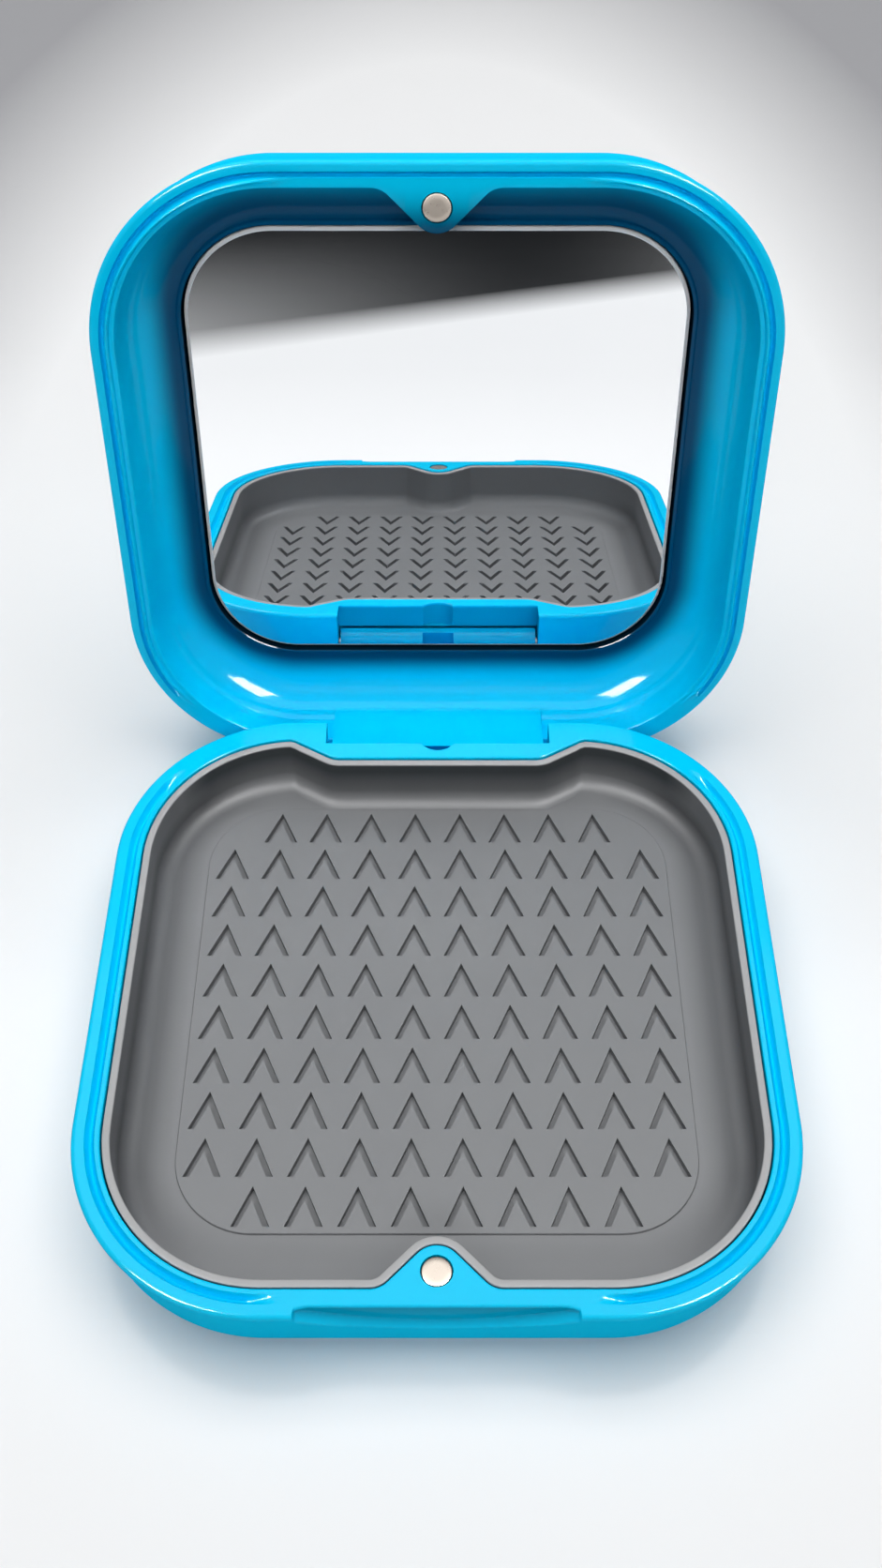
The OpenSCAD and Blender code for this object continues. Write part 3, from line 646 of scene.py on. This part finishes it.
# Lid shell: the second blue moulding, with a large soft outer edge, a channel and a ridge along its rim,
# a cove that runs in to the mirror, a magnet boss, and a broad tongue with the hinge barrel at its end.
lid_h, lid_wall, lid_edge_r, lid_lean = 14.0, 3.1, 8.5, 1.2
relief_in, relief_w, relief_h, ridge_w, ridge_h = 1.2, 0.7, 0.9, 0.6, 0.7
lid_cove, mirror_depth, lip_w, lip_h, mirror_gap = 6.5, 9.5, 0.6, 0.5, 0.3
mirror_w, mirror_d, mirror_r, mirror_t, tape_t = 65.0, 62.5, 12.0, 1.8, 0.4
mirror_y = -1.1
tongue_front, tongue_back, barrel_r = 0.6, 2.9, 2.3
bead_r, seal_form, seal_short = 0.2, 0.6, 0.8
ridge_past, ridge_fade, relief_fade = 3.5, 5.0, 0.6
lid_inset = inner_inset(0.0, lid_wall, housing=False)


def lip_row(grow, z):
    """The outline of the mirror, grown, as one row of points at a height."""
    ring_x = np.linspace(-32, 32, 200)
    w, d = mirror_w + 2 * grow, mirror_d + 2 * grow
    return ring_row(rounded_outline(w, d, mirror_r + grow, ring_x, ring_x, 80, 40)[0], mirror_y, z)


def resample(path, n):
    """The same polyline with n points, corners kept: the longest pieces are halved until there are n."""
    path = [np.asarray(p, float) for p in path]
    while len(path) < n:
        gaps = [np.linalg.norm(b - a) for a, b in zip(path[:-1], path[1:])]
        k = int(np.argmax(gaps))
        path.insert(k + 1, (path[k] + path[k + 1]) / 2)
    return np.array(path)


# The lid is drawn shut, its rim at height 0: the lip round the mirror's recess, then the section from the cove
# down the inside, over the bead, the ridge, the channel and the rim, and up the outside to the crown.
pocket, lip_top, lip_edge = mirror_depth + mirror_t + tape_t, mirror_depth - lip_h, mirror_gap + lip_w
lip_rows = np.concatenate([lip_row(grow, z) for grow, z in (
    (mirror_gap, pocket), (mirror_gap, lip_top + 0.12), (mirror_gap + 0.12, lip_top), (lip_edge - 0.15, lip_top),
    (lip_edge, lip_top + 0.15), (lip_edge, mirror_depth - 0.1), (lip_edge + 0.1, mirror_depth))], axis=1)
cove_c = np.array([lid_wall + lid_cove, mirror_depth - lid_cove])
share = np.linspace(0, 1, 18)[None, :]
cove_turn = np.arcsin(np.clip((cove_c[0] - lid_inset) / lid_cove, -1, 1))[:, None] * share
cove_rows = rows(cove_c[0] - lid_cove * np.sin(cove_turn), cove_c[1] + lid_cove * np.cos(cove_turn))
side_t = np.linspace(0, 1, 9)[None, 1:]
side_rows = rows(lid_inset[:, None], cove_rows[:, -1:, 1] * (1 - side_t) + bead_r * side_t)
bead_t = np.radians(np.linspace(0, 90, 5))[None, 1:]
bead_rows = rows(lid_inset[:, None] - bead_r * (1 - np.cos(bead_t)), bead_r * (1 - np.sin(bead_t)))
ridge_on = seal_share(seal_stop + seal_short, thumb_half + groove_w + ridge_past, ridge_fade)[:, None]
relief_on = seal_share(seal_stop + seal_short, 0, relief_fade)[:, None]
ridge_t = np.linspace(0, 1, 9)[None, :]
ridge_rows = rows(relief_in + relief_w + ridge_w * (1 - ridge_t),
                  -ridge_h * ridge_on * np.abs(np.sin(np.pi * ridge_t)) ** seal_form)
channel_t = ridge_t[:, 1:]
relief_rows = rows(relief_in + relief_w * (1 - channel_t),
                   relief_h * relief_on * np.abs(np.sin(np.pi * channel_t)) ** seal_form)
rim_t = np.radians(np.linspace(-90, -180, 7))[None, :]
rim_rows = rows(rim_round + rim_round * np.cos(rim_t), rim_round + rim_round * np.sin(rim_t))
outer_z = np.linspace(rim_round, lid_h - lid_edge_r, 7)[None, 1:]
outer_rows = rows(lid_lean * (outer_z - rim_round) / (lid_h - lid_edge_r - rim_round), outer_z)
crown_t = np.radians(np.linspace(180, 90, 17))[None, 1:]
crown_rows = rows(lid_lean + lid_edge_r + lid_edge_r * np.cos(crown_t),
                  lid_h - lid_edge_r + lid_edge_r * np.sin(crown_t))
lid_section = np.concatenate([cove_rows, side_rows, bead_rows, ridge_rows, relief_rows, rim_rows,
                              outer_rows, crown_rows], axis=1)
turned = lid_section.shape[1] - outer_rows.shape[1] - crown_rows.shape[1]

# The stations of the tongue take another section: from the cove down its front, round the barrel and up its
# back to the rim. Flat ends close it.
tongue_order = np.where(is_back & (np.abs(plan_x) <= tongue_half + 1e-6))[0]
shell_order = np.roll(np.arange(n_plan), -tongue_order[-1])[:n_plan - len(tongue_order) + 2]
drop = hinge_drop + rim_gap
front_in, back_in = hinge_in + tongue_front, hinge_in - tongue_back
meet_z = cove_c[1] + np.sqrt(lid_cove ** 2 - (cove_c[0] - front_in) ** 2)
front_turn = np.degrees(np.arccos(tongue_front / barrel_r))
back_rise = rim_round - np.sqrt(rim_round ** 2 - (rim_round - back_in) ** 2)
cove_part = cove_rows[tongue_order[0]]
cove_kept = cove_part[cove_part[:, 0] > front_in + 0.05]
rim_kept = rim_rows[0][rim_rows[0][:, 0] < back_in - 0.01]
tongue_path = np.concatenate([
    cove_kept, [[front_in, meet_z]],
    arc((hinge_in, -drop), barrel_r, front_turn, -180, 28),
    [[back_in, -drop]], [[back_in, back_rise]], rim_kept])
tongue_rows = np.broadcast_to(resample(tongue_path, turned), (len(tongue_order), turned, 2))
tongue_section = np.concatenate([tongue_rows, lid_section[tongue_order][:, turned:]], axis=1)
lid_grids = [np.concatenate([lip_rows[order], sweep(plan[order], plan_in[order], section)], axis=1)
             for order, section in ((shell_order, lid_section[shell_order]), (tongue_order, tongue_section))]
lid_verts = np.concatenate([grid.reshape(-1, 3) for grid in lid_grids])
n_shell, n_tongue = len(shell_order), len(tongue_order)
lip_n, rows_lid = lip_rows.shape[1], lid_grids[0].shape[1]
first_tongue, last_tongue = n_shell * rows_lid, (n_shell + n_tongue - 1) * rows_lid
end_rows = lip_n + np.arange(len(cove_kept) - 1, turned + 1)
right_end = ((n_shell - 1) * rows_lid + end_rows).tolist() + (first_tongue + end_rows[1:-1][::-1]).tolist()
left_end = (last_tongue + end_rows).tolist() + end_rows[1:-1][::-1].tolist()
lid_faces = joined_faces(n_shell, n_tongue, rows_lid) + [right_end, left_end]
lid_shell = make_piece("blue_lid", swung(lid_verts), lid_faces, "lid", "lid_shell")
bore_verts, bore_faces = drum((0, magnet_y), magnet_r + magnet_ring, -1.0, magnet_bore)
cut_bore(lid_shell, swung(bore_verts), bore_faces)
moon_half, moon_front, moon_back = scallop_half + 0.15, hinge_y + 1.0, hinge_y + 3.75
moon_foot, moon_top = hinge_z - 1.8, hinge_z + 4.0
moon_plan = ((-moon_half, moon_front), (moon_half, moon_front), (moon_half, moon_back), (-moon_half, moon_back))
moon_verts = [[*spot, height] for height in (moon_foot, moon_top) for spot in moon_plan]
cut_bore(lid_shell, moon_verts, [[3, 2, 1, 0], [4, 5, 6, 7], [0, 1, 5, 4], [1, 2, 6, 5], [2, 3, 7, 6], [3, 0, 4, 7]])

# The blue is painted darker beside the mirror as painted shade, by the distance from its outline in the plane of the
# shut lid, and nearly black in the gap round the glass as painted shade. On the barrel it carries a painted shadow
# under the strip, a line of deeper painted shade along the strip's edge, and painted shade in the half-moon recess.
edge_shade_blue, moon_shade_blue = (0.0003, 0.085, 0.17), (0.0003, 0.28, 0.60)
mirror_shade_blue, gap_shade_blue = (0.0003, 0.070, 0.160), (0.0005, 0.008, 0.015)
front_reach, inside_top = 0.34, 12.5
lid_blue = blue_finish("blue_plastic_lid")
tree = lid_blue.node_tree
turn = tree.nodes.new("ShaderNodeMapping")
c, s = np.cos(lid_open), np.sin(lid_open)
turn.inputs["Rotation"].default_value = (lid_open, 0.0, 0.0)
turn.inputs["Location"].default_value = (0.0, 0.001 * (hinge_y - mirror_y - hinge_y * c + hinge_z * s),
                                         0.001 * (hinge_z - lid_z - hinge_y * s - hinge_z * c))
x, y, z = object_axes(turn)
# Painted shade beside the mirror, and nearly black painted shade in the gap round the glass.
apart = off_outline(x, y, mirror_w / 2, mirror_d / 2, mirror_r)
inside = below(z, inside_top)
reach = chain("SUBTRACT", 1.0, chain("MULTIPLY", ramp(y, -20.0, -31.111), front_reach))
beside = all_of(ramp(chain("MULTIPLY", apart, reach), 5.6, 1.6, smooth=True), inside)
gap_shade_mask = all_of(ramp(apart, 0.40, 0.2889), inside)
x, y, z = object_axes()
# Painted shadow of the strip on the barrel, a band of deeper painted shade by the strip's edge, and painted shade in
# the half-moon recess.
strip_shadow_mask = all_of(above(z, hinge_z + 0.2), ramp(y, hinge_y + 4.05, hinge_y + 3.7167))
edge_shade_mask = all_of(strip_shadow_mask, ramp(y, hinge_y + 3.2, hinge_y + 3.5333))
moon_shade_mask = all_of(below(chain("ABSOLUTE", x), moon_half + 0.03), below(y, moon_back + 0.03),
                 above(y, moon_front - 0.03), above(z, moon_foot - 0.05))
paint_over((beside, mirror_shade_blue), (gap_shade_mask, gap_shade_blue), (strip_shadow_mask, notch_shade_blue), (edge_shade_mask, edge_shade_blue),
           (moon_shade_mask, moon_shade_blue))
lid_shell.data.materials.append(lid_blue)


# Mirror: a rounded square of silvered glass with a narrow ground bevel, set in the recess of the lid and
# held by an adhesive pad behind it, which keeps the shape that the frame gives it.
mirror_bevel = 0.5
glass_x = np.linspace(-31, 31, 60)
glass_plan, glass_in = rounded_outline(mirror_w, mirror_d, mirror_r, glass_x, glass_x, 60, 30)
glass_plan = glass_plan + [0, mirror_y]
glass_rows = np.array([[0.1, mirror_t], [0.0, mirror_t - 0.05], [0.0, mirror_bevel + 0.05],
                       [0.05, mirror_bevel - 0.05], [mirror_bevel, 0.0], [mirror_bevel + 0.02, 0.0]])
glass_rows = glass_rows + [0, mirror_depth]
n_glass, m_glass = len(glass_plan), len(glass_rows)
glass_grid = sweep(glass_plan, glass_in, np.broadcast_to(glass_rows, (n_glass, m_glass, 2)))
glass_faces = [face[::-1] for face in closed_faces(n_glass, m_glass)]
mirror_plate = make_piece("mirror_glass", swung(glass_grid.reshape(-1, 3)), glass_faces,
                          "lid", "mirror_plate", 12)
silver = skinned_finish("silvered_glass", (0.90, 0.91, 0.92), (0.93, 0.94, 0.945), scales=(40, 700),
                        rough=(0.004, 0.012), bump=0.0, bump_depth=0.0001, metallic=1.0)
ground = skinned_finish("ground_edge", (0.88, 0.88, 0.88), (0.94, 0.94, 0.94), scales=(300, 3000), rough=(0.25, 0.4),
                        bump=0.02, bump_depth=0.0001)
mirror_plate.data.materials.append(silver)
mirror_plate.data.materials.append(ground)
face_corners = np.empty(len(mirror_plate.data.polygons), np.int32)
mirror_plate.data.polygons.foreach_get("loop_total", face_corners)
mirror_plate.data.polygons.foreach_set("material_index", np.where(face_corners > 4, 0, 1).astype(np.int32))
pad_foam = skinned_finish("pad_foam", (0.03, 0.03, 0.033), (0.05, 0.05, 0.053), scales=(200, 3000), rough=(0.7, 0.9),
                          bump=0.2, bump_depth=0.0002)
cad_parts["mirror_tape"].data.materials.clear()
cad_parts["mirror_tape"].data.materials.append(pad_foam)


# Studio: a pale glossy table under a large soft box, with a weaker box in front that shows in no reflection. The
# small glint lamps on both sides light the case alone, not the table or the card. The table carries painted shade
# that greys it softly towards its far corners, and a painted glow, most in glossy rays and far from the case. A dark
# card in front shows from above only, and only in reflections such as the mirror's.
table_half, card_far, card_z = 1.6, 1.2, 0.002
table_mesh, card_mesh = bpy.data.meshes.new("studio_table"), bpy.data.meshes.new("dark_card")
table_mesh.from_pydata([(-table_half, -table_half, 0), (table_half, -table_half, 0),
                        (table_half, table_half, 0), (-table_half, table_half, 0)], [], [(0, 1, 2, 3)])
card_mesh.from_pydata([(-card_far, -card_far, card_z), (card_far, -card_far, card_z),
                       (card_far, 0, card_z), (-card_far, 0, card_z)], [], [(0, 1, 2, 3)])
table, card = bpy.data.objects.new("studio_table", table_mesh), bpy.data.objects.new("dark_card", card_mesh)
card.visible_camera = card.visible_diffuse = card.visible_shadow = card.visible_transmission = False
for piece in (table, card):
    scene.collection.objects.link(piece)


def sight_rays():
    """The masks of the current tree for rays from the camera, for glossy rays, and for every ray that shows a
    picture, passing rays among them."""
    rays = tree.nodes.new("ShaderNodeLightPath")
    camera, glossy = rays.outputs["Is Camera Ray"], rays.outputs["Is Glossy Ray"]
    seen = chain("ADD", chain("ADD", camera, glossy), rays.outputs["Is Transmission Ray"], clamp=True)
    return camera, glossy, seen


corner_shade_grey, lit_white = (0.34, 0.34, 0.355), (0.84, 0.84, 0.85)
grey_from_y, side_pull = 0.10, 2.2
glossy_glow, camera_glow, far_glow = 0.30, 0.04, 0.42
table_paint = skinned_finish("table_paint", (0.81, 0.812, 0.816), (0.84, 0.842, 0.846), scales=(3, 30),
                             rough=(0.12, 0.18), bump=0.0, bump_depth=0.001, specular=0.3)
tree = table_paint.node_tree
x, y = object_axes()[:2]
camera, glossy, seen = sight_rays()
far_y = chain("SUBTRACT", y, grey_from_y)
# Painted shade towards the far corners of the table.
corner_shade_mask = all_of(ramp(distance(chain("MULTIPLY", x, side_pull), far_y), 166.0, 271.26), ramp(y, 100.0, 150.0),
                   ramp(y, 460.0, 335.0))
paint_over((corner_shade_mask, corner_shade_grey), (chain("SUBTRACT", 1.0, seen), lit_white))
glow = chain("ADD", chain("MULTIPLY", glossy, glossy_glow), chain("MULTIPLY", camera, camera_glow))
glow = chain("MULTIPLY", glow, chain("SUBTRACT", 1.0, corner_shade_mask))
away = all_of(ramp(distance(x, far_y), 280.0, 905.0), seen)
shader = tree.nodes["Principled BSDF"]
shader.inputs["Emission Color"].default_value = (0.97, 0.98, 1.0, 1.0)
tree.links.new(chain("ADD", glow, chain("MULTIPLY", away, far_glow)), shader.inputs["Emission Strength"])
table.data.materials.append(table_paint)

card_slope, haze_x, haze_least, haze_growth = 0.67, 0.035, 0.02, 24.0
card_paint = skinned_finish("card_paint", (0.016, 0.018, 0.020), (0.022, 0.024, 0.027), scales=(20, 200),
                            rough=(0.8, 0.9), bump=0.0, bump_depth=0.001, specular=0.0)
tree = card_paint.node_tree
x, y = object_axes()[:2]
slant = chain("ADD", y, chain("MULTIPLY", x, card_slope))
aside = chain("SUBTRACT", x, haze_x)
haze = chain("ADD", haze_least, chain("MULTIPLY", chain("MULTIPLY", aside, aside), haze_growth))
near_edge = ramp(slant, -525.0, -275.0)
haze = all_of(haze, near_edge, near_edge)
from_above = chain("SUBTRACT", 1.0, tree.nodes.new("ShaderNodeNewGeometry").outputs["Backfacing"])
cover = all_of(ramp(slant, -232.0, -275.478), chain("SUBTRACT", 1.0, haze, clamp=True), from_above)
tree.links.new(cover, tree.nodes["Principled BSDF"].inputs["Alpha"])
card.data.materials.append(card_paint)

all_bounces = 1024
no_glints = bpy.data.collections.new("no_glints")
for piece in (table, card):
    no_glints.objects.link(piece)
for left_out in no_glints.collection_objects:
    left_out.light_linking.link_state = "EXCLUDE"
for label, place, aim, size, spread, power, lights_all in (
        ("top_box", (0.0, 0.14, 0.75), (0.0, 0.05, 0.0), (0.9, 0.65), 180, 5.9, True),
        ("front_box", (0.0, -0.45, 0.50), (0.0, 0.07, 0.065), (0.4, 0.25), 40, 0.15, True),
        ("left_glint", (-0.24, -0.16, 0.40), (0.0, 0.02, 0.03), (0.17, 0.24), 180, 14.0, False),
        ("right_glint", (0.24, -0.16, 0.40), (0.0, 0.02, 0.03), (0.17, 0.24), 180, 14.0, False)):
    lamp_data = bpy.data.lights.new(label, "AREA")
    lamp_data.shape = "RECTANGLE"
    lamp_data.size, lamp_data.size_y = size
    lamp_data.energy = power
    lamp_data.spread = np.radians(spread)
    lamp_data.cycles.max_bounces = all_bounces if lights_all else 0
    lamp = bpy.data.objects.new(label, lamp_data)
    towards = np.array(aim) - np.array(place)
    towards = towards / np.linalg.norm(towards)
    lamp.location = place
    lamp.visible_diffuse = lights_all
    if not lights_all:
        lamp.light_linking.receiver_collection = no_glints
    lamp.visible_glossy = label != "front_box"
    lamp.rotation_euler = (np.arccos(-towards[2]), 0.0, np.arctan2(towards[0], -towards[1]) + np.pi)
    scene.collection.objects.link(lamp)

room_seen, room_rest = 0.73, 0.07
room = bpy.data.worlds.new("room")
room.use_nodes = True
tree = room.node_tree
seen = sight_rays()[2]
tree.nodes["Background"].inputs["Color"].default_value = (0.95, 0.97, 1.0, 1.0)
tree.links.new(chain("ADD", chain("MULTIPLY", seen, room_seen), room_rest), tree.nodes["Background"].inputs["Strength"])
scene.world = room
